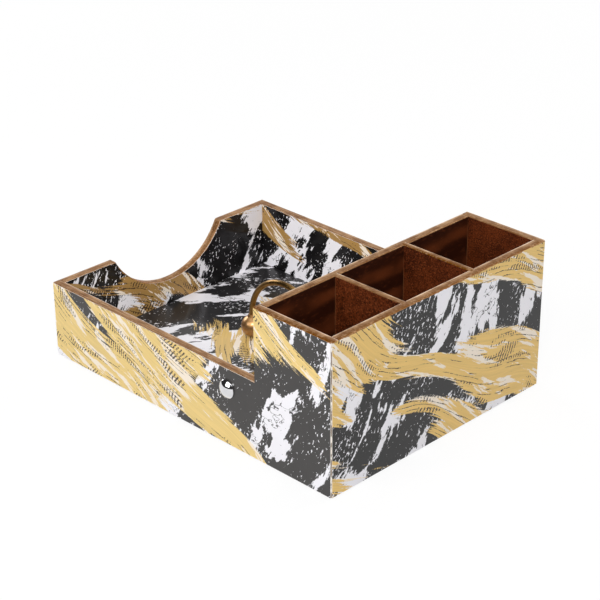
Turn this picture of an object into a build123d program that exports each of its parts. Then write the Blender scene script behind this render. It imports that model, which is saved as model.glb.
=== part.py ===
"""Cutlery and napkin holder for a table.

A low napkin tray with a scooped end wall and a taller caddy with three cutlery compartments stand on
one base. The walls are thin boards, butted and glued, and printed sheets face them outside and in the
tray. A bent wire arm with a ball at its end is brazed to a rod that turns in the two side panels, and
its weight holds the napkins down. Domed caps screwed into the rod's ends keep the rod in place.

Frame: X runs along the length, from the scooped wall to the caddy, Y runs across, from the front to
the back, and Z points up. The origin is on the underside, at the middle of the footprint.
Sizes are in millimetres.
"""

import os
from math import acos, atan2, cos, degrees, hypot, sin, sqrt

from build123d import *

os.makedirs("parts", exist_ok=True)

# Overall sizes, over the printed faces and without the felt
holder_length = 254.0
holder_width = 190.5
caddy_depth = 63.5
tray_wall_height = 52.7
caddy_wall_height = 101.6

# Boards and sheets
board = 5.5
divider_board = 4.0
print_sheet = 0.25
felt_sheet = 0.8
felt_inset = 2.0
felt_corner = 3.0

# Sanded edges of the boards, where the printed sheets stop
edge_break = 0.5

# Cutlery compartments, parted by boards that stand in grooves
compartments = 3
groove_depth = 2.0

# Scoop in the tray's end wall, cut a little off the middle
scoop_width = 95.0
scoop_depth = 29.0
scoop_offset = 0.9
scoop_corner = 1.5

# Rod that the arm turns on
rod_diameter = 5.0
rod_clearance = 0.1
pivot_setback = 23.1
pivot_drop = 14.0

# Domed caps, each with a stud in the rod's end
cap_diameter = 12.4
cap_height = 3.6
cap_rim = 0.8
cap_gap = 0.2
stud_diameter = 3.0
stud_length = 7.0
stud_clearance = 0.05

# Wire arm: a straight run off the rod, an arch, and a drop into the ball
arm_diameter = 4.0
arm_offset = 5.0
ball_reach = 84.0
arch_radius = 31.7
ball_drop = 9.3
foot_diameter = 6.0
foot_length = 5.5

# Ball at the end of the arm
ball_diameter = 15.2
ball_bore_depth = 6.0
ball_gap = 0.3
neck_top_diameter = 5.0
neck_base_diameter = 6.4
neck_height = 1.2

# Faces of the boards and sheets, measured from the middle planes
half_length = holder_length / 2
half_width = holder_width / 2
side_outer = half_width - print_sheet
side_inner = side_outer - board
tray_side = side_inner - print_sheet
end_outer = half_length - print_sheet
end_inner = end_outer - board
caddy_face = half_length - caddy_depth
caddy_tray_side = caddy_face + print_sheet
caddy_inside = caddy_tray_side + board

# Levels above the underside
tray_top = felt_sheet + tray_wall_height
caddy_top = felt_sheet + caddy_wall_height
base_top = felt_sheet + board
floor_level = base_top + print_sheet

# Scoop arc, from its chord and depth
scoop_radius = (scoop_width**2 / 4 + scoop_depth**2) / (2 * scoop_depth)
scoop_centre = tray_top - scoop_depth + scoop_radius

# Spacing of the two boards between the compartments
compartment_width = (2 * side_inner - (compartments - 1) * divider_board) / compartments
divider_spacing = compartment_width + divider_board

# Rod axis and the ball's place
pivot_x = caddy_face - pivot_setback
pivot_z = tray_top - pivot_drop
rod_half = half_width + cap_gap
ball_x = pivot_x - ball_reach
ball_z = floor_level + ball_gap + ball_diameter / 2

# Arch of the arm, seen from the front with the rod's axis at zero
arch_x = arch_radius - ball_reach
arch_z = ball_z + ball_drop - pivot_z
arch_distance = hypot(arch_x, arch_z)
arch_start = atan2(-arch_z, -arch_x) + acos(arch_radius / arch_distance)
run_end = (arch_x + arch_radius * cos(arch_start), arch_z + arch_radius * sin(arch_start))
arch_sweep = 180 - degrees(arch_start)
drop_end = ball_z + ball_diameter / 2 - ball_bore_depth - pivot_z

# Dome of a cap, from its width and rise
dome_rise = cap_height - cap_rim
dome_radius = (cap_diameter**2 / 4 + dome_rise**2) / (2 * dome_rise)


def scoop_outline(half_span, bottom, inset):
    """Draws the scooped wall as seen along its thickness, with its rim drawn in by inset."""
    height = tray_top - inset - bottom
    with Locations((0, bottom + height / 2)):
        Rectangle(2 * half_span, height)
    with Locations((scoop_offset, scoop_centre)):
        Circle(scoop_radius + inset, mode=Mode.SUBTRACT)


def rod_section(radius):
    """Draws a circle on the rod's axis, on a sketch plane that faces along the rod."""
    with Locations((pivot_x, pivot_z)):
        Circle(radius)


# Felt under the base
with BuildPart() as base_felt:
    with BuildSketch():
        RectangleRounded(holder_length - 2 * felt_inset, holder_width - 2 * felt_inset, felt_corner)
    extrude(amount=felt_sheet)

# Base board, between the four outer walls
with BuildPart() as base_board:
    with BuildSketch(Plane.XY.offset(felt_sheet)):
        Rectangle(2 * end_inner, 2 * side_inner)
    extrude(amount=board)

# Front panel: one stepped board is both the tray's wall and the caddy's side
with BuildPart() as front_panel:
    with BuildSketch(Plane.XZ.offset(side_inner)):
        with BuildLine():
            Polyline(
                (-end_outer, felt_sheet),
                (end_outer, felt_sheet),
                (end_outer, caddy_top),
                (caddy_tray_side, caddy_top),
                (caddy_tray_side, tray_top),
                (-end_outer, tray_top),
                close=True,
            )
        make_face()
    extrude(amount=board)
    straight_edges = front_panel.edges()
    open_edges = straight_edges - straight_edges.group_by(Axis.Z)[0]
    outer_uprights = open_edges.filter_by(Axis.Z).group_by(Axis.Y)[0]
    low_ends, high_ends = open_edges.filter_by(Axis.Y).group_by(Axis.Z)
    rim_edges = open_edges.filter_by(Axis.X) + low_ends.sort_by(Axis.X)[:1] + high_ends
    chamfer(rim_edges + outer_uprights, edge_break)
    with BuildSketch(Plane.XZ.offset(side_inner)):
        rod_section(rod_diameter / 2 + rod_clearance)
    extrude(amount=board, mode=Mode.SUBTRACT)

with BuildPart() as back_panel:
    mirror(front_panel.part, about=Plane.XZ)

# Scooped wall at the tray's end, between the side panels
with BuildPart() as scoop_panel:
    with BuildSketch(Plane.YZ.offset(-end_outer)) as scoop_sketch:
        scoop_outline(side_inner, felt_sheet, 0)
        fillet(scoop_sketch.vertices().group_by(Axis.Y)[-1].sort_by(Axis.X)[1:3], scoop_corner)
    extrude(amount=board)
    face_edges = scoop_panel.faces().filter_by(Axis.X).edges().filter_by(Axis.Z, reverse=True)
    chamfer(face_edges - face_edges.group_by(Axis.Z)[0], edge_break)

# Wall between the tray and the caddy, standing on the base
with BuildPart() as caddy_tray_panel:
    with BuildSketch(Plane.YZ.offset(caddy_tray_side)):
        with Locations((0, (base_top + caddy_top) / 2)):
            Rectangle(2 * side_inner, caddy_top - base_top)
    extrude(amount=board)
    chamfer(caddy_tray_panel.edges().filter_by(Axis.Y).group_by(Axis.Z)[-1], edge_break)
    with BuildSketch(Plane.YZ.offset(caddy_inside - groove_depth)):
        with Locations((0, (base_top + caddy_top) / 2)):
            with GridLocations(divider_spacing, 0, compartments - 1, 1):
                Rectangle(divider_board, caddy_top - base_top)
    extrude(amount=groove_depth, mode=Mode.SUBTRACT)

# Outer wall of the caddy, from the underside to the rim
with BuildPart() as caddy_end_panel:
    with BuildSketch(Plane.YZ.offset(end_inner)):
        with Locations((0, (felt_sheet + caddy_top) / 2)):
            Rectangle(2 * side_inner, caddy_top - felt_sheet)
    extrude(amount=board)
    chamfer(caddy_end_panel.edges().filter_by(Axis.Y).group_by(Axis.Z)[-1], edge_break)
    with BuildSketch(Plane.YZ.offset(end_inner)):
        with Locations((0, (base_top + caddy_top) / 2)):
            with GridLocations(divider_spacing, 0, compartments - 1, 1):
                Rectangle(divider_board, caddy_top - base_top)
    extrude(amount=groove_depth, mode=Mode.SUBTRACT)

# Dividers, with both ends in the grooves
with BuildPart() as divider_front:
    with BuildSketch(Plane.YZ.offset(caddy_inside - groove_depth)):
        with Locations((-divider_spacing / 2, (base_top + caddy_top) / 2)):
            Rectangle(divider_board, caddy_top - base_top)
    extrude(amount=end_inner - caddy_inside + 2 * groove_depth)
    chamfer(divider_front.edges().filter_by(Axis.X).group_by(Axis.Z)[-1], edge_break)

with BuildPart() as divider_back:
    mirror(divider_front.part, about=Plane.XZ)

# Printed sheets on the outside, on the flat of the boards
with BuildPart() as print_front:
    extrude(front_panel.faces().sort_by(Axis.Y)[0], amount=print_sheet)

with BuildPart() as print_back:
    mirror(print_front.part, about=Plane.XZ)

with BuildPart() as print_caddy_end:
    with BuildSketch(Plane.YZ.offset(end_outer)):
        with Locations((0, (felt_sheet + caddy_top - edge_break) / 2)):
            Rectangle(2 * (side_outer - edge_break), caddy_top - edge_break - felt_sheet)
    extrude(amount=print_sheet)

with BuildPart() as print_scoop_outer:
    with BuildSketch(Plane.YZ.offset(-end_outer)) as outer_sketch:
        scoop_outline(side_outer - edge_break, felt_sheet, edge_break)
        fillet(outer_sketch.vertices().group_by(Axis.Y)[-1].sort_by(Axis.X)[1:3], scoop_corner)
    extrude(amount=-print_sheet)

# Printed sheets inside the tray
with BuildPart() as print_tray_floor:
    with BuildSketch(Plane.XY.offset(base_top)):
        with Locations(((caddy_tray_side - end_inner) / 2, 0)):
            Rectangle(caddy_tray_side + end_inner, 2 * side_inner)
    extrude(amount=print_sheet)

with BuildPart() as print_tray_front:
    with BuildSketch(Plane.XZ.offset(tray_side)):
        with Locations(((caddy_tray_side - end_inner) / 2, (floor_level + tray_top - edge_break) / 2)):
            Rectangle(caddy_tray_side + end_inner, tray_top - edge_break - floor_level)
    extrude(amount=print_sheet)
    with BuildSketch(Plane.XZ.offset(tray_side)):
        rod_section(rod_diameter / 2 + rod_clearance)
    extrude(amount=print_sheet, mode=Mode.SUBTRACT)

with BuildPart() as print_tray_back:
    mirror(print_tray_front.part, about=Plane.XZ)

with BuildPart() as print_scoop_inner:
    with BuildSketch(Plane.YZ.offset(-end_inner)) as inner_sketch:
        scoop_outline(tray_side, floor_level, edge_break)
        fillet(inner_sketch.vertices().group_by(Axis.Y)[-1].sort_by(Axis.X)[1:3], scoop_corner)
    extrude(amount=print_sheet)

# The caddy's tray side is wider above the tray, where it covers the steps of the side panels
with BuildPart() as print_tray_caddy:
    with BuildSketch(Plane.YZ.offset(caddy_face)):
        with Locations((0, (floor_level + tray_top) / 2)):
            Rectangle(2 * tray_side, tray_top - floor_level)
        with Locations((0, (tray_top + caddy_top - edge_break) / 2)):
            Rectangle(2 * (side_outer - edge_break), caddy_top - edge_break - tray_top)
    extrude(amount=print_sheet)

# Rod through the side panels, bored at each end for a cap's stud
with BuildPart() as pivot_rod:
    with BuildSketch(Plane.XZ):
        rod_section(rod_diameter / 2)
    extrude(amount=rod_half, both=True)
    with BuildSketch(Plane.XZ.offset(rod_half), Plane.XZ.offset(-rod_half)):
        rod_section(stud_diameter / 2 + stud_clearance)
    extrude(amount=stud_length, both=True, mode=Mode.SUBTRACT)

# Domed cap: a disc trimmed to a shallow dome over a straight rim, with a stud behind it
cap_plane = Plane(origin=(pivot_x, -rod_half, pivot_z), x_dir=(1, 0, 0), z_dir=(0, -1, 0))
with BuildPart() as dome_cap_front:
    with BuildSketch(cap_plane):
        Circle(cap_diameter / 2)
    extrude(amount=cap_height + dome_rise)
    with Locations((pivot_x, dome_radius - cap_height - rod_half, pivot_z)):
        Sphere(dome_radius, mode=Mode.INTERSECT)
    with BuildSketch(cap_plane):
        Circle(stud_diameter / 2)
    extrude(amount=-stud_length)

with BuildPart() as dome_cap_back:
    mirror(dome_cap_front.part, about=Plane.XZ)

# Wire arm, coped round the rod at its brazed foot
arm_plane = Plane(origin=(pivot_x, arm_offset, pivot_z), x_dir=(1, 0, 0), z_dir=(0, -1, 0))
with BuildPart() as arm_wire:
    with BuildLine(arm_plane) as arm_path:
        Line((0, 0), run_end)
        arch = CenterArc((arch_x, arch_z), arch_radius, degrees(arch_start), arch_sweep)
        Line((arch_x - arch_radius, arch_z), (arch_x - arch_radius, drop_end))
    foot_plane = Plane(origin=arm_path.line @ 0, z_dir=arm_path.line % 0)
    with BuildSketch(foot_plane):
        Circle(arm_diameter / 2)
    sweep()
    with BuildSketch(foot_plane):
        Circle(foot_diameter / 2)
    with BuildSketch(foot_plane.offset(foot_length)):
        Circle(arm_diameter / 2)
    loft()
    with BuildSketch(Plane.XZ.offset(-arm_offset)):
        rod_section(rod_diameter / 2)
    extrude(amount=foot_diameter, both=True, mode=Mode.SUBTRACT)

# Ball, turned in one piece with a tapered neck and bored for the end of the wire
ball_plane = Plane(origin=(ball_x, arm_offset, ball_z), x_dir=(1, 0, 0), z_dir=(0, -1, 0))
ball_radius = ball_diameter / 2
neck_top = ball_radius + neck_height
neck_seat = sqrt(ball_radius**2 - neck_base_diameter**2 / 4)
with BuildPart() as ball_weight:
    with BuildSketch(ball_plane):
        Circle(ball_radius)
        with BuildLine():
            Polyline(
                (0, neck_top),
                (neck_top_diameter / 2, neck_top),
                (neck_base_diameter / 2, neck_seat),
                (0, neck_seat),
                close=True,
            )
        make_face()
        with Locations((neck_top, 0)):
            Rectangle(2 * neck_top, 2 * neck_top, mode=Mode.INTERSECT)
    revolve(axis=Axis(ball_plane.origin, ball_plane.y_dir))
    with BuildSketch(Plane.XY.offset(ball_z + ball_radius - ball_bore_depth)):
        with Locations((ball_x, arm_offset)):
            Circle(arm_diameter / 2)
    extrude(amount=ball_bore_depth + neck_height, mode=Mode.SUBTRACT)

pieces = {
    "base_felt": base_felt,
    "base_board": base_board,
    "front_panel": front_panel,
    "back_panel": back_panel,
    "scoop_panel": scoop_panel,
    "caddy_tray_panel": caddy_tray_panel,
    "caddy_end_panel": caddy_end_panel,
    "divider_front": divider_front,
    "divider_back": divider_back,
    "print_front": print_front,
    "print_back": print_back,
    "print_caddy_end": print_caddy_end,
    "print_scoop_outer": print_scoop_outer,
    "print_scoop_inner": print_scoop_inner,
    "print_tray_front": print_tray_front,
    "print_tray_back": print_tray_back,
    "print_tray_caddy": print_tray_caddy,
    "print_tray_floor": print_tray_floor,
    "pivot_rod": pivot_rod,
    "dome_cap_front": dome_cap_front,
    "dome_cap_back": dome_cap_back,
    "arm_wire": arm_wire,
    "ball_weight": ball_weight,
}
for node, piece in pieces.items():
    piece.part.label = node
    export_step(piece.part, f"parts/{node}.step")
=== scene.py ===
"""Looks of the cutlery and napkin holder, in metres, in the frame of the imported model."""

from math import cos, pi, radians, sin

import bpy
from mathutils import Matrix, Vector

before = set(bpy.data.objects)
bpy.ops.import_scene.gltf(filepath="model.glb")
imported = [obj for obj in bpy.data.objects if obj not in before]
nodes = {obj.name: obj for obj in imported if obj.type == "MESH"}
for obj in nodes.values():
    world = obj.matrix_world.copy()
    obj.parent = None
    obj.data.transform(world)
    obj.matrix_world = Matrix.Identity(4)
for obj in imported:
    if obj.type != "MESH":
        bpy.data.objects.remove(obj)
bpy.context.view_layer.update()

scene = bpy.context.scene

# Camera, as the photograph was taken
CAMERA_PLACE = (0.72835, -0.71712, 0.56158)
CAMERA_AZIMUTH = radians(45.177)
CAMERA_ELEVATION = radians(26.569)
CAMERA_ROLL = radians(-0.418)
CAMERA_LENS = 106.626
CAMERA_SENSOR = 36.0
CAMERA_REACH = 100.0


def span(name, axis):
    """Gives where a node starts and ends along an axis."""
    index = "XYZ".index(axis)
    places = [vertex.co[index] for vertex in nodes[name].data.vertices]
    return min(places), max(places)


# Heights at which the sheets end below the two rims, the step between them, and the caddy's inside
TRAY_RIM = span("print_tray_front", "Z")[1]
CADDY_RIM = span("print_caddy_end", "Z")[1]
BETWEEN_RIMS = (TRAY_RIM + CADDY_RIM) / 2
CADDY_STEP = min(vertex.co.x for vertex in nodes["print_front"].data.vertices if vertex.co.z > BETWEEN_RIMS)
COMPARTMENT_START = span("caddy_tray_panel", "X")[1]

# The scoop's arc at the sheets' edge, as the part's source sets it
SCOOP_MIDDLE = (0.0009, 0.0779)
SCOOP_RADIUS = 0.0539

# Middle of the range that a noise gives
NOISE_MIDDLE = 0.5


def linear(red, green, blue):
    """Gives a colour written as a screen shows it, from 0 to 255, as a shader takes it, by the sRGB curve."""
    parts = [value / 255 for value in (red, green, blue)]
    return tuple(v / 12.92 if v <= 0.04045 else ((v + 0.055) / 1.055) ** 2.4 for v in parts) + (1.0,)


def tinted(colour, share):
    """Makes a shader colour lighter or darker by a share of itself."""
    return tuple(min(1.0, share * part) for part in colour[:3]) + (1.0,)


class Graph:
    """Adds shader nodes in short calls. A value is a number, a colour or another node's output."""

    def __init__(self, tree):
        self.tree = tree

    def add(self, kind, inputs=None, **settings):
        node = self.tree.nodes.new(kind)
        for key, value in settings.items():
            setattr(node, key, value)
        for key, value in (inputs or {}).items():
            self.feed(node.inputs[key], value)
        return node

    def feed(self, socket, value):
        if isinstance(value, bpy.types.NodeSocket):
            self.tree.links.new(value, socket)
        else:
            socket.default_value = value

    def math(self, operation, first, second=0.0):
        return self.add("ShaderNodeMath", {0: first, 1: second}, operation=operation).outputs[0]

    def vector(self, operation, first, second):
        return self.add("ShaderNodeVectorMath", {0: first, 1: second}, operation=operation).outputs[0]

    def join(self, x, y):
        return self.add("ShaderNodeCombineXYZ", {"X": x, "Y": y}).outputs[0]

    def split(self, vector):
        return self.add("ShaderNodeSeparateXYZ", {0: vector}).outputs

    def place(self):
        return self.add("ShaderNodeTexCoord").outputs["Object"]

    def noise(self, vector, scale, detail, roughness, space="3D", output="Fac"):
        values = {"Vector": vector, "Scale": scale, "Detail": detail, "Roughness": roughness}
        return self.add("ShaderNodeTexNoise", values, noise_dimensions=space).outputs[output]

    def flat_noise(self, vector, scale, detail, roughness):
        return self.noise(vector, scale, detail, roughness, "2D")

    def turned(self, vector, degrees, stretch):
        """Turns flat coordinates and squeezes their first axis, so that what is drawn grows along it."""
        values = {"Vector": vector, "Angle": radians(-degrees)}
        turn = self.add("ShaderNodeVectorRotate", values, rotation_type="Z_AXIS")
        return self.vector("MULTIPLY", turn.outputs[0], (1 / stretch, 1.0, 1.0))

    def drawn_out(self, vector, degrees, stretch, scale, detail, roughness):
        """Flat noise that is drawn out in a direction."""
        return self.flat_noise(self.turned(vector, degrees, stretch), scale, detail, roughness)

    def step(self, value, edge, soft):
        values = {"Value": value, "From Min": edge - soft, "From Max": edge + soft}
        return self.add("ShaderNodeMapRange", values, interpolation_type="SMOOTHSTEP").outputs[0]

    def scaled(self, value, low, high):
        return self.add("ShaderNodeMapRange", {"Value": value, "To Min": low, "To Max": high}).outputs[0]

    def around(self, value, size):
        """Centres a noise on zero and gives it a size."""
        return self.math("MULTIPLY", self.math("SUBTRACT", value, NOISE_MIDDLE), size)

    def inverse(self, value):
        """Gives what a share leaves of one."""
        return self.math("SUBTRACT", 1.0, value)

    def total(self, *values):
        result = values[0]
        for value in values[1:]:
            result = self.math("ADD", result, value)
        return result

    def product(self, *values):
        result = values[0]
        for value in values[1:]:
            result = self.math("MULTIPLY", result, value)
        return result

    def mix(self, share, low, high):
        """Mixes two colours, which are the node's inputs 6 and 7 and its output 2."""
        return self.add("ShaderNodeMix", {0: share, 6: low, 7: high}, data_type="RGBA").outputs[2]

    def bump(self, height, distance):
        return self.add("ShaderNodeBump", {"Height": height, "Distance": distance}).outputs[0]


def empty_graph(owner):
    """Clears the nodes of a material or a world and gives its graph."""
    owner.use_nodes = True
    owner.node_tree.nodes.clear()
    return Graph(owner.node_tree)


def new_material(name):
    """Gives a new material, its graph and its principled shader, joined to the output."""
    material = bpy.data.materials.new(name)
    graph = empty_graph(material)
    shader = graph.add("ShaderNodeBsdfPrincipled")
    graph.add("ShaderNodeOutputMaterial", {"Surface": shader.outputs[0]})
    return material, graph, shader


def set_inputs(graph, shader, values):
    for key, value in values.items():
        graph.feed(shader.inputs[key], value)


# Printed sheets

PAPER_WHITE = linear(240, 238, 243)
CREAM = linear(242, 229, 212)
LINE_INK = linear(50, 38, 36)
FRONT_INK = linear(54, 52, 51)
# The end's, the floor's and the inner walls' inks and the inner walls' gold are darker copies of the front's
# ink and gold: painted shade
END_SHADED_INK = linear(27, 26, 26)
FLOOR_SHADED_INK = linear(30, 29, 30)
WALL_SHADED_INK = linear(12, 11, 12)
FRONT_GOLD = linear(232, 202, 130)
END_GOLD = linear(231, 193, 114)
FLOOR_GOLD = linear(216, 182, 112)
WALL_SHADED_GOLD = linear(172, 134, 76)
SOFT_INK_SHARE = 1.3
PALE_GOLD_SHARE = 1.14
DEEP_GOLD_SHARE = 0.80

# Directions that the print runs in, in degrees, and how far they drift
TEAR_TURN = 64.0
CRACK_TURN = 20.0
SWEEP_TURN = -27.0
DRY_TURN = -40.0
DRIFT_REACH = 0.055

# Fine lines: how many to the metre, and the share of each pitch that is inked
HAIRS_PER_METRE = 300.0
HAIR_SHARE = 0.15
COMBS_PER_METRE = 420.0
COMB_SHARE = 0.42

# Rim paint on the sheets: how far it creeps and how much that varies, and how much of a cut edge it covers
CREEP_BRONZE = linear(134, 88, 42)
CREEP_LIGHT = linear(168, 122, 68)
CREEP_REACH = 0.0001
CREEP_WANDER = 0.0030
PAINTED_DEPTH = 0.0006
CUT_PAPER = linear(236, 232, 226)
SOILED_PAPER = linear(176, 160, 142)

# Each sheet: the two axes that its picture runs along, where the picture starts, its ink, its gold, how much
# of it is gold, and its rim
SHEETS = {
    "print_front": ("X", "Z", (0.00, 0.00), FRONT_INK, FRONT_GOLD, 0.53, "stepped"),
    "print_back": ("-X", "Z", (1.70, 0.40), FRONT_INK, FRONT_GOLD, 0.53, "stepped"),
    "print_caddy_end": ("Y", "Z", (3.10, 0.20), END_SHADED_INK, END_GOLD, 0.57, "caddy"),
    "print_scoop_outer": ("-Y", "Z", (4.60, 0.90), END_SHADED_INK, END_GOLD, 0.50, "scoop"),
    "print_scoop_inner": ("Y", "Z", (6.20, 0.30), WALL_SHADED_INK, WALL_SHADED_GOLD, 0.42, "scoop"),
    "print_tray_front": ("-X", "Z", (7.90, 0.70), WALL_SHADED_INK, WALL_SHADED_GOLD, 0.42, "tray"),
    "print_tray_back": ("X", "Z", (9.10, 0.10), WALL_SHADED_INK, WALL_SHADED_GOLD, 0.37, "tray"),
    "print_tray_caddy": ("-Y", "Z", (10.40, 0.60), WALL_SHADED_INK, WALL_SHADED_GOLD, 0.46, "caddy"),
    "print_tray_floor": ("X", "Y", (12.37, 0.80), FLOOR_SHADED_INK, FLOOR_GOLD, 0.41, ""),
}


def below_rim(graph, kind, x, y, z):
    """Gives how far a point of a sheet is from the painted rim that the sheet ends at."""
    if kind == "stepped":
        level = graph.scaled(graph.math("GREATER_THAN", x, CADDY_STEP), low=TRAY_RIM, high=CADDY_RIM)
        return graph.math("SUBTRACT", level, z)
    if kind == "scoop":
        side, height = SCOOP_MIDDLE
        spoke = graph.join(graph.math("SUBTRACT", y, side), graph.math("SUBTRACT", z, height))
        reach = graph.add("ShaderNodeVectorMath", {0: spoke}, operation="LENGTH").outputs["Value"]
        below_straight = graph.math("SUBTRACT", TRAY_RIM, z)
        return graph.math("MINIMUM", graph.math("SUBTRACT", reach, SCOOP_RADIUS), below_straight)
    return graph.math("SUBTRACT", CADDY_RIM if kind == "caddy" else TRAY_RIM, z)


def coordinate(graph, parts, axis):
    """Gives a point's coordinate along an axis such as X, or its opposite for one such as -X."""
    value = parts["XYZ".index(axis[-1])]
    return graph.product(value, -1.0) if axis[0] == "-" else value


def drifted(graph, flat):
    """Lets the directions of the print wander from place to place."""
    wander = graph.noise(flat, scale=7.0, detail=1.0, roughness=0.5, space="2D", output="Color")
    wander = graph.vector("SUBTRACT", wander, (NOISE_MIDDLE, NOISE_MIDDLE, NOISE_MIDDLE))
    return graph.vector("ADD", flat, graph.vector("MULTIPLY", wander, (DRIFT_REACH, DRIFT_REACH, 0.0)))


def dark_ground(graph, flat, ink):
    """Dark ink, a little uneven, with white spatter that is thicker in some places."""
    uneven = graph.flat_noise(flat, scale=60.0, detail=5.0, roughness=0.7)
    ground = graph.mix(uneven, ink, tinted(ink, SOFT_INK_SHARE))
    zone = graph.drawn_out(flat, TEAR_TURN, stretch=2.0, scale=48.0, detail=2.0, roughness=0.5)
    thicker = graph.around(graph.step(zone, edge=0.52, soft=0.10), size=0.12)
    drops = graph.drawn_out(flat, TEAR_TURN, stretch=1.8, scale=640.0, detail=3.0, roughness=0.55)
    spatter = graph.step(graph.total(drops, thicker), edge=0.685, soft=0.012)
    return graph.mix(spatter, ground, PAPER_WHITE)


def torn_patches(graph, flat, bent):
    """Gives where white patches with torn edges lie, and where they are chipped or cracked."""
    torn = graph.drawn_out(bent, TEAR_TURN, stretch=3.2, scale=46.0, detail=9.0, roughness=0.62)
    patches = graph.step(torn, edge=0.545, soft=0.006)
    chips = graph.step(graph.flat_noise(flat, scale=330.0, detail=4.0, roughness=0.6), edge=0.735, soft=0.01)
    cracks = graph.drawn_out(bent, CRACK_TURN, stretch=2.0, scale=55.0, detail=4.0, roughness=0.6)
    cracks = graph.math("ABSOLUTE", graph.around(cracks, size=1.0))
    cracks = graph.inverse(graph.step(cracks, edge=0.0055, soft=0.002))
    zone = graph.step(graph.flat_noise(flat, scale=34.0, detail=2.0, roughness=0.5), edge=0.54, soft=0.02)
    return patches, graph.math("MAXIMUM", chips, graph.product(cracks, zone))


def gold_sweeps(graph, bent, streaks, grain, share):
    """Gives where broad gold sweeps lie, which fray along the bristles."""
    sweep = graph.drawn_out(bent, SWEEP_TURN, stretch=4.5, scale=23.0, detail=2.0, roughness=0.45)
    fray = graph.drawn_out(bent, SWEEP_TURN, stretch=9.0, scale=210.0, detail=4.0, roughness=0.6)
    frayed = graph.total(sweep, graph.around(streaks, size=0.10), graph.around(fray, size=0.10))
    frayed = graph.total(frayed, graph.around(grain, size=0.035))
    return graph.step(frayed, edge=1.0 - share, soft=0.006)


def gold_stroke(graph, gold_ink, streaks, dry):
    """Gold ink in streaks, with cream where the brush ran dry."""
    stroke = graph.mix(streaks, tinted(gold_ink, DEEP_GOLD_SHARE), tinted(gold_ink, PALE_GOLD_SHARE))
    cream = graph.step(graph.total(dry, graph.around(streaks, size=0.08)), edge=0.562, soft=0.012)
    return graph.mix(cream, stroke, CREAM)


def dark_lines(graph, bent, grain, dry):
    """Gives where hairlines run along the sweeps and short comb strokes across them."""
    along, across = graph.split(graph.turned(bent, SWEEP_TURN, stretch=1.0))[:2]
    hair = graph.total(graph.product(across, HAIRS_PER_METRE), graph.around(dry, size=1.3))
    hair = graph.math("LESS_THAN", graph.math("FRACT", hair), HAIR_SHARE)
    hair_zone = graph.drawn_out(bent, SWEEP_TURN, stretch=4.5, scale=120.0, detail=3.0, roughness=0.6)
    hair = graph.product(hair, graph.step(hair_zone, edge=0.545, soft=0.02))
    comb = graph.total(graph.product(along, COMBS_PER_METRE), graph.around(dry, size=1.6))
    comb = graph.math("LESS_THAN", graph.math("FRACT", comb), COMB_SHARE)
    comb_zone = graph.drawn_out(bent, SWEEP_TURN, stretch=5.0, scale=105.0, detail=4.0, roughness=0.6)
    comb = graph.product(comb, graph.step(comb_zone, edge=0.60, soft=0.012))
    return graph.product(graph.math("MAXIMUM", hair, comb), graph.step(grain, edge=0.40, soft=0.05))


def crept_paint(graph, flat, distance):
    """Gives where the rim's paint has crept onto a sheet, by the distance from the rim."""
    uneven = graph.flat_noise(flat, scale=150.0, detail=4.0, roughness=0.6)
    reach = graph.total(CREEP_REACH, graph.around(uneven, size=CREEP_WANDER))
    return graph.math("LESS_THAN", distance, reach)


def print_material(name, first_axis, second_axis, start, ink, gold_ink, gold_share, rim):
    """Lacquered print: torn white patches on dark ink, crossed by dry gold sweeps with fine dark lines."""
    material, graph, shader = new_material(name)
    parts = graph.split(graph.place())
    flat = graph.join(coordinate(graph, parts, first_axis), coordinate(graph, parts, second_axis))
    flat = graph.vector("ADD", flat, (*start, 0.0))
    bent = drifted(graph, flat)
    grain = graph.flat_noise(flat, scale=900.0, detail=3.0, roughness=0.6)
    peel = graph.flat_noise(flat, scale=260.0, detail=2.0, roughness=0.5)
    streaks = graph.drawn_out(bent, SWEEP_TURN, stretch=22.0, scale=620.0, detail=3.0, roughness=0.6)
    dry = graph.drawn_out(bent, DRY_TURN, stretch=7.0, scale=150.0, detail=6.0, roughness=0.62)

    patches, damage = torn_patches(graph, flat, bent)
    patch = graph.mix(damage, PAPER_WHITE, ink)
    colour = graph.mix(patches, dark_ground(graph, flat, ink), patch)
    stroke = gold_stroke(graph, gold_ink, streaks, dry)
    stroke = graph.mix(dark_lines(graph, bent, grain, dry), stroke, LINE_INK)
    colour = graph.mix(gold_sweeps(graph, bent, streaks, grain, gold_share), colour, stroke)
    if rim:
        crept = crept_paint(graph, flat, below_rim(graph, rim, *parts))
        colour = graph.mix(crept, colour, graph.mix(grain, CREEP_BRONZE, CREEP_LIGHT))
    set_inputs(graph, shader, {
        "Base Color": colour,
        "Roughness": graph.scaled(grain, low=0.28, high=0.40),
        "Normal": graph.bump(peel, distance=0.00005),
        "Specular IOR Level": 0.15,
        "Coat Weight": 0.42,
        "Coat Roughness": 0.06,
        "Coat IOR": 1.45,
    })
    return material


def paper_edge_material():
    """Cut edge of a printed sheet, painted over along the caddy's rim."""
    material, graph, shader = new_material("cut_edge")
    place = graph.place()
    wear = graph.noise(place, scale=240.0, detail=5.0, roughness=0.65)
    colour = graph.mix(graph.step(wear, edge=0.60, soft=0.06), CUT_PAPER, SOILED_PAPER)
    painted = graph.math("GREATER_THAN", graph.split(place)[2], CADDY_RIM - PAINTED_DEPTH)
    colour = graph.mix(painted, colour, graph.mix(wear, CREEP_BRONZE, CREEP_LIGHT))
    set_inputs(graph, shader, {
        "Base Color": colour,
        "Roughness": graph.scaled(wear, low=0.45, high=0.65),
        "Normal": graph.bump(wear, distance=0.00008),
    })
    return material


# Painted boards

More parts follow.
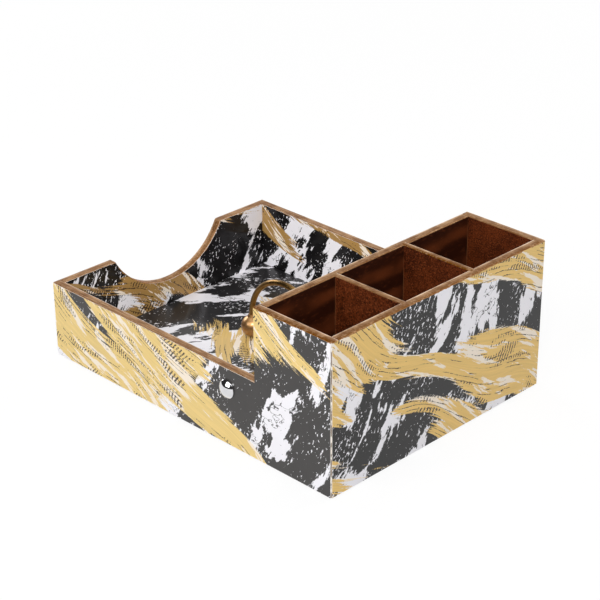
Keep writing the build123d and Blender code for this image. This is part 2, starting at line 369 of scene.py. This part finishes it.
RIM_DARK = linear(111, 76, 50)
RIM_BRONZE = linear(161, 124, 89)
RIM_LIGHT = linear(185, 150, 113)
# Pale worn paint with a painted highlight, for a rim's far edge
RIM_WORN_HIGHLIGHT = linear(226, 202, 178)
# Brown painted shade for a rim's edge nearer the camera
RIM_SHADE_BROWN = linear(104, 60, 0)
WORN_GROUND = linear(224, 217, 208)
WORN_BOARD = linear(124, 108, 94)
COMPARTMENT_DARK = linear(56, 20, 6)
COMPARTMENT_RED = linear(94, 41, 15)
PEBBLE_LIGHT = linear(126, 66, 36)
PEBBLE_DARK = linear(22, 7, 2)
# Lighter brown for the bead in the joints: paint with a painted highlight
BEAD_HIGHLIGHT_BROWN = linear(108, 66, 40)
# Darker painted shade and lighter painted sheen for the caddy's long board
SHADE_BAND_DARK = linear(41, 15, 6)
SHEEN_BAND_LIGHT = linear(96, 46, 21)
BAND_FLECK = linear(112, 58, 30)
FELT_DARK = linear(24, 20, 18)
FELT_LIGHT = linear(66, 58, 52)

# Brush marks on a rim run at right angles to the axis across it
BRUSHED = {"Y": (0.08, 1.0, 1.0), "X": (1.0, 0.08, 1.0)}

# How far below the tray's rim the arc begins, and how far the lighter bead in a joint, a paint bead with a
# painted highlight, reaches and varies
ARC_DEPTH = 0.0003
BEAD_HIGHLIGHT_REACH = 0.0003
BEAD_HIGHLIGHT_WANDER = 0.0016

# Bands of painted sheen on darker painted shade along the caddy's long board: their pitch, the share of it
# they are shifted by, and their flecks
SHEEN_BAND_PITCH = 0.0208
SHEEN_BAND_START_SHARE = -0.15
FLECK_SHARE = 0.5

# How much noise is squeezed along each axis
LONG_SHEEN_BANDS = (1.0, 0.3, 1.0)
LONG_FLECKS = (1.0, 0.4, 1.0)
FELT_NAP = (1.0, 3.0, 1.0)


def brushed_bronze(graph, mottle, streaks, fine):
    """Bronze paint with darker patches and light brush marks."""
    patches = graph.total(mottle, graph.around(streaks, size=0.5))
    marks = graph.total(streaks, graph.around(fine, size=0.5))
    paint = graph.mix(graph.step(patches, edge=0.46, soft=0.22), RIM_DARK, RIM_BRONZE)
    return graph.mix(graph.step(marks, edge=0.60, soft=0.12), paint, RIM_LIGHT)


def across_rim(graph, place, board, axis):
    """Runs from -1 at a rim's edge nearer the camera, which takes brown painted shade, to 1 at its far edge,
    which takes pale worn paint and a painted highlight.
    """
    low, high = span(board, axis)
    middle = (low + high) / 2
    half = (high - low) / 2
    x, y = graph.split(place)[:2]
    offset = graph.math("SUBTRACT", y, middle) if axis == "Y" else graph.math("SUBTRACT", middle, x)
    return graph.product(offset, 1 / half)


def rim_material(board, axis, near_edge_shade):
    """Bronze paint brushed along a rim, with brown specks of painted shade towards its edge nearer the camera
    and pale worn paint with a painted highlight on its far edge.
    """
    material, graph, shader = new_material("rim_" + board)
    place = graph.place()
    z = graph.split(place)[2]
    mottle = graph.noise(place, scale=90.0, detail=4.0, roughness=0.6)
    specks = graph.noise(place, scale=520.0, detail=3.0, roughness=0.6)
    fine = graph.noise(place, scale=1100.0, detail=3.0, roughness=0.6)
    lengthwise = graph.vector("MULTIPLY", place, BRUSHED[axis])
    streaks = graph.noise(lengthwise, scale=1300.0, detail=3.0, roughness=0.55)
    across = across_rim(graph, place, board, axis)

    # The brown painted shade is strongest on the caddy's rim and the arc, and the pale worn paint with its
    # painted highlight is strongest on the caddy's rim
    on_caddy = graph.math("GREATER_THAN", z, BETWEEN_RIMS)
    on_arc = graph.math("LESS_THAN", z, TRAY_RIM - ARC_DEPTH)
    zone = graph.scaled(graph.math("MAXIMUM", on_caddy, on_arc), low=0.25, high=1.0)
    # Brown painted shade in specks, towards the rim's edge nearer the camera
    speckle = graph.scaled(graph.step(specks, edge=0.45, soft=0.08), low=0.35, high=1.0)
    ragged = graph.total(across, graph.around(mottle, size=1.6))
    near_edge_mask = graph.inverse(graph.step(ragged, edge=0.05, soft=0.55))
    shaded_edge = graph.product(near_edge_mask, near_edge_shade, zone, speckle)
    # Pale worn paint with a painted highlight along the rim's far edge, strongest on the caddy
    uneven = graph.total(across, graph.around(mottle, size=0.9))
    far_edge_mask = graph.step(uneven, edge=0.66, soft=0.24)
    wear = graph.scaled(on_caddy, low=0.4, high=1.0)
    worn_highlight = graph.product(far_edge_mask, wear, graph.scaled(streaks, low=0.7, high=1.0))

    paint = brushed_bronze(graph, mottle, streaks, fine)
    paint = graph.mix(shaded_edge, paint, RIM_SHADE_BROWN)
    paint = graph.mix(worn_highlight, paint, RIM_WORN_HIGHLIGHT)
    set_inputs(graph, shader, {
        "Base Color": paint,
        "Metallic": 0.45,
        "Roughness": graph.scaled(fine, low=0.38, high=0.56),
        "Normal": graph.bump(graph.total(fine, streaks), distance=0.00006),
        "Specular IOR Level": 0.03,
    })
    return material


def corner_material():
    """Upright corners of the boards, where the print is worn through to the pale ground and the board."""
    material, graph, shader = new_material("worn_corner")
    wear = graph.noise(graph.place(), scale=130.0, detail=5.0, roughness=0.65)
    set_inputs(graph, shader, {
        "Base Color": graph.mix(graph.step(wear, edge=0.46, soft=0.05), WORN_GROUND, WORN_BOARD),
        "Roughness": graph.scaled(wear, low=0.45, high=0.65),
        "Normal": graph.bump(wear, distance=0.00008),
    })
    return material


def compartment_material(name, bead_highlight):
    """Dark red-brown paint with a fine pebbled grain, and if asked a lighter bead in the upright joints: a
    paint bead with a painted highlight.
    """
    material, graph, shader = new_material(name)
    place = graph.place()
    cloud = graph.noise(place, scale=55.0, detail=4.0, roughness=0.6)
    pebble = graph.noise(place, scale=1150.0, detail=3.0, roughness=0.62)
    colour = graph.mix(graph.step(cloud, edge=0.5, soft=0.22), COMPARTMENT_DARK, COMPARTMENT_RED)
    colour = graph.mix(graph.step(pebble, edge=0.60, soft=0.07), colour, PEBBLE_LIGHT)
    colour = graph.mix(graph.step(pebble, edge=0.41, soft=0.07), PEBBLE_DARK, colour)
    if bead_highlight:
        # A lighter line where the boards meet the caddy's long board: a paint bead with a painted highlight
        bead_end = graph.total(COMPARTMENT_START + BEAD_HIGHLIGHT_REACH, graph.around(cloud, size=BEAD_HIGHLIGHT_WANDER))
        lit_bead_mask = graph.math("LESS_THAN", graph.split(place)[0], bead_end)
        colour = graph.mix(lit_bead_mask, colour, BEAD_HIGHLIGHT_BROWN)
    set_inputs(graph, shader, {
        "Base Color": colour,
        "Roughness": graph.scaled(pebble, low=0.32, high=0.55),
        "Normal": graph.bump(pebble, distance=0.00014),
        "Specular IOR Level": 0.16,
    })
    return material


def shaded_sheen_paint_material():
    """The red-brown paint, smoother and darker along the caddy's long board as painted shade, with soft bands
    of painted sheen.
    """
    material, graph, shader = new_material("compartment_paint_shade_and_sheen")
    place = graph.place()
    z = graph.split(place)[2]
    wander = graph.noise(graph.vector("MULTIPLY", place, LONG_SHEEN_BANDS), scale=60.0, detail=2.0, roughness=0.5)
    fine = graph.noise(graph.vector("MULTIPLY", place, LONG_FLECKS), scale=700.0, detail=3.0, roughness=0.6)
    patches = graph.noise(place, scale=42.0, detail=2.0, roughness=0.5)
    # Soft bands of painted sheen, one to each pitch up the board, broken into patches
    height = graph.total(graph.product(z, 1 / SHEEN_BAND_PITCH), SHEEN_BAND_START_SHARE, graph.around(wander, size=0.7))
    wave = graph.math("SINE", graph.product(height, 2 * pi))
    light = graph.product(graph.step(wave, edge=0.3, soft=0.9), graph.step(patches, edge=0.42, soft=0.24))
    flecks = graph.product(graph.step(fine, edge=0.64, soft=0.10), FLECK_SHARE)
    set_inputs(graph, shader, {
        "Base Color": graph.mix(flecks, graph.mix(light, SHADE_BAND_DARK, SHEEN_BAND_LIGHT), BAND_FLECK),
        "Roughness": graph.scaled(fine, low=0.30, high=0.40),
        "Normal": graph.bump(fine, distance=0.00004),
        "Specular IOR Level": 0.4,
    })
    return material


def felt_material():
    """Dark felt with loose fibres."""
    material, graph, shader = new_material("felt")
    nap = graph.vector("MULTIPLY", graph.place(), FELT_NAP)
    fibre = graph.noise(nap, scale=900.0, detail=5.0, roughness=0.7)
    set_inputs(graph, shader, {
        "Base Color": graph.mix(fibre, FELT_DARK, FELT_LIGHT),
        "Roughness": 0.95,
        "Normal": graph.bump(fibre, distance=0.0003),
        "Sheen Weight": 0.35,
        "Sheen Roughness": 0.6,
    })
    return material


# Metals

# Patina, rubbed metal and scratches of each brass
BALL_COLOURS = (linear(138, 100, 58), linear(176, 135, 86), linear(204, 165, 115))
ARM_COLOURS = (linear(108, 80, 40), linear(138, 108, 63), linear(174, 143, 96))
SCRATCH_RUN = (1.0, 1.0, 6.0)
SHEEN_RANGE = 0.12
CHROME_DARK = linear(208, 208, 210)
CHROME_LIGHT = linear(232, 232, 234)


def brass_material(name, colours, sheen, lacquer):
    """Antique brass: brown in its patina, brighter where it is rubbed, under more or less lacquer."""
    material, graph, shader = new_material(name)
    patina_brown, rubbed, scratched = colours
    place = graph.place()
    patina = graph.noise(place, scale=140.0, detail=5.0, roughness=0.62)
    lengthwise = graph.vector("MULTIPLY", place, SCRATCH_RUN)
    scratch = graph.noise(lengthwise, scale=1400.0, detail=3.0, roughness=0.6)
    colour = graph.mix(graph.step(patina, edge=0.50, soft=0.22), patina_brown, rubbed)
    set_inputs(graph, shader, {
        "Base Color": graph.mix(graph.step(scratch, edge=0.66, soft=0.05), colour, scratched),
        "Metallic": 1.0,
        "Roughness": graph.scaled(patina, low=sheen, high=sheen + SHEEN_RANGE),
        "Normal": graph.bump(scratch, distance=0.00001),
        "Coat Weight": lacquer,
        "Coat Roughness": 0.10,
    })
    return material


def chrome_material():
    """Polished chrome plate with faint swirl marks."""
    material, graph, shader = new_material("chrome")
    place = graph.place()
    swirl = graph.noise(place, scale=2200.0, detail=3.0, roughness=0.6)
    haze = graph.noise(place, scale=260.0, detail=3.0, roughness=0.5)
    set_inputs(graph, shader, {
        "Base Color": graph.mix(haze, CHROME_DARK, CHROME_LIGHT),
        "Metallic": 1.0,
        "Roughness": graph.scaled(swirl, low=0.02, high=0.09),
    })
    return material


# Which material each face of a node takes, by the face's normal

UPWARD = 0.05
DOWNWARD = -0.5
SLANTED = 0.5
FACING = 0.9
INSIDE, RIM, CORNER = range(3)
PRINT, EDGE = range(2)


def first_material(normal):
    """The same for every face, whichever way it looks."""
    return 0


def dress(name, materials, choose=first_material):
    """Gives a node its materials, and each face the one that choose names by the face's normal."""
    mesh = nodes[name].data
    mesh.materials.clear()
    for material in materials:
        mesh.materials.append(material)
    for face in mesh.polygons:
        face.material_index = choose(face.normal)


def board_face(normal):
    """Paint on upright faces, bronze on what looks up, and worn upright corners."""
    if normal.z > UPWARD:
        return RIM
    return CORNER if min(abs(normal.x), abs(normal.y)) > SLANTED else INSIDE


def scoop_face(normal):
    """Bronze all round the rim, from the straight top down into the scoop."""
    return INSIDE if abs(normal.x) > FACING or normal.z < DOWNWARD else RIM


def sheet_face(axis):
    """Print on the two faces of a sheet, paper on its edges."""
    index = "XYZ".index(axis)
    return lambda normal: PRINT if abs(normal[index]) > FACING else EDGE


cut_edge = paper_edge_material()
worn_corner = corner_material()
plain_paint = compartment_material("compartment_paint", bead_highlight=False)
highlit_bead_paint = compartment_material("compartment_paint_highlit_bead", bead_highlight=True)
shaded_sheen_paint = shaded_sheen_paint_material()
ball_brass = brass_material("rubbed_brass", BALL_COLOURS, sheen=0.32, lacquer=0.5)
arm_brass = brass_material("antique_brass", ARM_COLOURS, sheen=0.22, lacquer=0.0)
chrome = chrome_material()

# Each board with a rim: the axis across it, how strong the brown painted shade on its edge nearer the camera
# is, and the paint inside
BOARDS = {
    "front_panel": ("Y", 1.0, highlit_bead_paint),
    "back_panel": ("Y", 0.5, highlit_bead_paint),
    "divider_front": ("Y", 0.5, highlit_bead_paint),
    "divider_back": ("Y", 1.0, highlit_bead_paint),
    "caddy_end_panel": ("X", 0.8, plain_paint),
    "caddy_tray_panel": ("X", 0.5, shaded_sheen_paint),
    "scoop_panel": ("X", 0.6, plain_paint),
}
for board, (axis, near_edge_shade, inside) in BOARDS.items():
    choose = scoop_face if board == "scoop_panel" else board_face
    dress(board, [inside, rim_material(board, axis, near_edge_shade), worn_corner], choose)
dress("base_board", [plain_paint])
for sheet, looks in SHEETS.items():
    facing = ({"X", "Y", "Z"} - {looks[0][-1], looks[1][-1]}).pop()
    dress(sheet, [print_material(sheet, *looks), cut_edge], sheet_face(facing))
for piece in ("pivot_rod", "arm_wire"):
    dress(piece, [arm_brass])
dress("ball_weight", [ball_brass])
for cap in ("dome_cap_front", "dome_cap_back"):
    dress(cap, [chrome])
dress("base_felt", [felt_material()])


# Stage: a white floor that keeps a soft shadow, a white surround, a dark card and softboxes

WHITE = (1.0, 1.0, 1.0, 1.0)
FLOOR_SIZE = 12.0
FLOOR_GLOW_SHARE = 0.86
FLOOR_WHITE = (0.9, 0.9, 0.9, 1.0)
FLOOR_BOUNCE = (0.4, 0.4, 0.4, 1.0)
SURROUND_STRENGTH = 0.1
CARD_RADIUS = 3.2
CARD_HEIGHTS = (0.05, 4.5)
CARD_START = 150
CARD_SWEEP = 180
CARD_STEPS = 24
CARD_GLOW = 0.03
LAMP_TARGET = (0, 0, 0.05)

# Each softbox: its place, its width and height, and its power
SOFTBOXES = {
    "key": ((-0.05, -1.95, 1.15), (1.5, 1.3), 23.0),
    "near": ((1.2, -1.2, 1.4), (0.7, 0.6), 32.0),
    "end": ((2.0, 0.3, 1.1), (1.4, 1.2), 4.0),
    "back": ((0.2, 2.1, 0.9), (1.4, 1.0), 24.0),
    "scoop": ((-2.1, 0.1, 0.9), (1.4, 1.0), 24.0),
    "top": ((0.0, 0.1, 1.9), (1.4, 1.4), 5.0),
}


def seen_directly(graph):
    """Is 1 for what the camera sees, by itself or in a reflection or through glass."""
    path = graph.add("ShaderNodeLightPath").outputs
    seen = graph.math("MAXIMUM", path["Is Camera Ray"], path["Is Glossy Ray"])
    return graph.math("MAXIMUM", seen, path["Is Transmission Ray"])


def floor_material():
    """White paper that looks almost as bright as the surround and takes the object's shadow."""
    material = bpy.data.materials.new("floor_white")
    graph = empty_graph(material)
    seen = seen_directly(graph)
    matte = graph.add("ShaderNodeBsdfDiffuse", {"Color": graph.mix(seen, FLOOR_BOUNCE, FLOOR_WHITE)})
    glow = graph.add("ShaderNodeEmission", {"Color": WHITE, "Strength": 1.0})
    share = graph.product(seen, FLOOR_GLOW_SHARE)
    shader = graph.add("ShaderNodeMixShader", {0: share, 1: matte.outputs[0], 2: glow.outputs[0]})
    graph.add("ShaderNodeOutputMaterial", {"Surface": shader.outputs[0]})
    return material


def card_material():
    """Even dark grey that no lamp changes."""
    material = bpy.data.materials.new("card_grey")
    graph = empty_graph(material)
    glow = graph.add("ShaderNodeEmission", {"Color": WHITE, "Strength": CARD_GLOW})
    graph.add("ShaderNodeOutputMaterial", {"Surface": glow.outputs[0]})
    return material


def add_mesh(name, points, faces, material):
    mesh = bpy.data.meshes.new(name)
    mesh.from_pydata(points, [], faces)
    mesh.materials.append(material)
    piece = bpy.data.objects.new(name, mesh)
    scene.collection.objects.link(piece)
    return piece


def add_floor():
    half = FLOOR_SIZE / 2
    corners = [(-half, -half, 0), (half, -half, 0), (half, half, 0), (-half, half, 0)]
    floor = add_mesh("floor", corners, [(0, 1, 2, 3)], floor_material())


def add_surround():
    scene.world = bpy.data.worlds.new("studio")
    graph = empty_graph(scene.world)
    strength = graph.scaled(seen_directly(graph), low=SURROUND_STRENGTH, high=1.0)
    light = graph.add("ShaderNodeBackground", {"Color": WHITE, "Strength": strength})
    graph.add("ShaderNodeOutputWorld", {"Surface": light.outputs[0]})


def add_dark_card():
    """Unlit side of the studio, in front of the object: a curved dark card that only glossy surfaces show."""
    turns = [radians(CARD_START + step * CARD_SWEEP / CARD_STEPS) for step in range(CARD_STEPS + 1)]
    ring = [(CARD_RADIUS * cos(turn), CARD_RADIUS * sin(turn)) for turn in turns]
    points = [(x, y, height) for height in CARD_HEIGHTS for x, y in ring]
    row = len(ring)
    faces = [(step, step + 1, row + step + 1, row + step) for step in range(CARD_STEPS)]
    card = add_mesh("dark_card", points, faces, card_material())
    card.visible_camera = False
    card.visible_diffuse = False
    card.visible_shadow = False
    card.visible_transmission = False


def add_softbox(name, place, size, power):
    light = bpy.data.lights.new(name, "AREA")
    light.shape = "RECTANGLE"
    light.size, light.size_y = size
    light.energy = power
    lamp = bpy.data.objects.new(name, light)
    lamp.location = place
    lamp.rotation_euler = (Vector(LAMP_TARGET) - Vector(place)).to_track_quat("-Z", "Y").to_euler()
    scene.collection.objects.link(lamp)


def add_camera():
    data = bpy.data.cameras.new("camera")
    data.lens = CAMERA_LENS
    data.sensor_width = CAMERA_SENSOR
    data.sensor_fit = "HORIZONTAL"
    data.clip_end = CAMERA_REACH
    camera = bpy.data.objects.new("camera", data)
    turn = Matrix.Rotation(CAMERA_AZIMUTH, 4, "Z") @ Matrix.Rotation(pi / 2 - CAMERA_ELEVATION, 4, "X")
    camera.matrix_world = Matrix.Translation(CAMERA_PLACE) @ turn @ Matrix.Rotation(CAMERA_ROLL, 4, "Z")
    scene.collection.objects.link(camera)
    scene.camera = camera


add_floor()
add_surround()
add_dark_card()
for name, looks in SOFTBOXES.items():
    add_softbox(name, *looks)
add_camera()
scene.view_settings.view_transform = "Standard"
